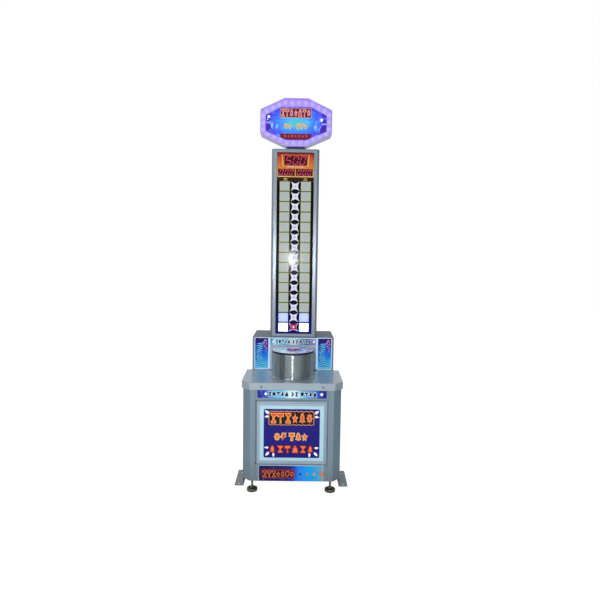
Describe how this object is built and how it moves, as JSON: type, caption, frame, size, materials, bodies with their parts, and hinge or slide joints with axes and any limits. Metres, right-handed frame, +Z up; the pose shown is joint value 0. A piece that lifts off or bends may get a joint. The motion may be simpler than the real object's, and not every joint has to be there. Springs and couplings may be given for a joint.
{
  "type": "hammer strength tester machine",
  "caption": "Arcade strength tester: base cabinet with a sprung strike pad on a steel drum, light-box door, tall score tower and lit eight-sided sign.",
  "frame": {"origin": "on the floor, midway across the machine and midway between the front of the deck cap and the back of the rear cabinet", "axes": "+Z up, -Y towards the player, +X to the player's right"},
  "size_m": [0.719, 0.7068, 2.512],
  "materials": {
    "body_paint": "metallic blue-grey paint, satin",
    "frame_paint": "metallic silver-blue paint, satin",
    "dark_steel": "black zinc plated steel",
    "bare_steel": "zinc plated steel",
    "stainless": "brushed stainless sheet",
    "bronze": "turned bronze",
    "black_rubber": "matt navy-black rubber",
    "pad_face": "laminated print under clear film",
    "lit_acrylic": "back-lit pale cyan acrylic",
    "blue_print": "printed vinyl, azure to navy",
    "navy_print": "printed acrylic, navy",
    "display_print": "back-printed black acrylic with pale cells",
    "score_print": "back-printed acrylic, red to orange",
    "sign_glow": "lit lilac diffuser",
    "sign_print": "back-lit print, royal blue to cyan",
    "circuit_board": "green circuit board",
    "black_plastic": "moulded black plastic"
  },
  "bodies": {
    "cabinet": {"base_side_left": "body_paint", "base_side_right": "body_paint", "base_lower_rail": "body_paint", "base_upper_rail": "body_paint", "upper_strip": "blue_print", "kick_strip": "blue_print", "base_floor_pan": "body_paint", "level_foot_front_left": "dark_steel", "level_foot_front_right": "dark_steel", "level_foot_rear_left": "dark_steel", "level_foot_rear_right": "dark_steel", "floor_bracket_left": "bare_steel", "floor_bracket_right": "bare_steel", "deck_cap": "body_paint", "door_hinge_fixed_leaf": "bare_steel", "drum_sleeve": "stainless", "mech_bridge": "body_paint", "guide_bush": "bronze", "bump_stop": "black_rubber", "return_spring": "bare_steel", "hit_sensor": "black_plastic", "rear_side_left": "body_paint", "rear_side_right": "body_paint", "rear_front_panel": "body_paint", "rear_top": "body_paint", "shoulder_art_left": "blue_print", "shoulder_art_right": "blue_print", "centre_panel": "frame_paint", "centre_strip": "blue_print", "rear_lower_panel": "body_paint", "power_inlet": "black_plastic", "rear_hinge_leaf": "bare_steel", "control_board": "circuit_board", "power_supply": "bare_steel", "tower_frame": "frame_paint", "tower_shell": "body_paint", "tower_cap": "frame_paint", "display_panel": "display_print", "score_panel": "score_print", "display_board": "circuit_board", "sign_neck": "navy_print", "sign_border": "sign_glow", "sign_shell": "frame_paint", "sign_face": "sign_print"},
    "strike_pad": {"pad_top": "pad_face", "pad_cushion": "black_rubber", "pad_plate": "bare_steel", "plunger_shaft": "bare_steel"},
    "front_door": {"front_door_pan": "body_paint", "door_led_board": "circuit_board", "front_door_bezel": "body_paint", "door_light_panel": "lit_acrylic", "door_art_panel": "navy_print", "door_hinge_moving_leaf": "bare_steel"},
    "front_lock": {"door_lock_barrel": "bare_steel", "door_lock_cam": "bare_steel"},
    "rear_door": {"rear_door": "body_paint"},
    "rear_lock": {"rear_door_lock": "bare_steel"},
    "power_switch": {"power_rocker": "black_plastic"}
  },
  "joints": [
    {"name": "strike_pad_press", "type": "slide", "parent": "cabinet", "child": "strike_pad", "axis": [0, 0, -1], "range_m": [0, 0.025], "stiffness_N_per_m": 6000, "springref_m": -0.02, "deforming": ["return_spring"]},
    {"name": "front_door_hinge", "type": "hinge", "parent": "cabinet", "child": "front_door", "pos_m": [-0.2185, -0.34785, 0.384], "axis": [0, 0, -1], "range_deg": [0, 110]},
    {"name": "front_lock_turn", "type": "hinge", "parent": "front_door", "child": "front_lock", "pos_m": [0, -0.32685, 0.1985], "axis": [0, 1, 0], "range_deg": [0, 90]},
    {"name": "rear_door_hinge", "type": "hinge", "parent": "cabinet", "child": "rear_door", "pos_m": [-0.249, 0.35015, 0.553], "axis": [0, 0, 1], "range_deg": [0, 110]},
    {"name": "rear_lock_turn", "type": "hinge", "parent": "rear_door", "child": "rear_lock", "pos_m": [0.232, 0.34235, 0.555], "axis": [0, 1, 0], "range_deg": [0, 90]},
    {"name": "power_switch_tilt", "type": "hinge", "parent": "cabinet", "child": "power_switch", "pos_m": [0.07, 0.34865, 0.14], "axis": [-1, 0, 0], "range_deg": [0, 18]}
  ]
}
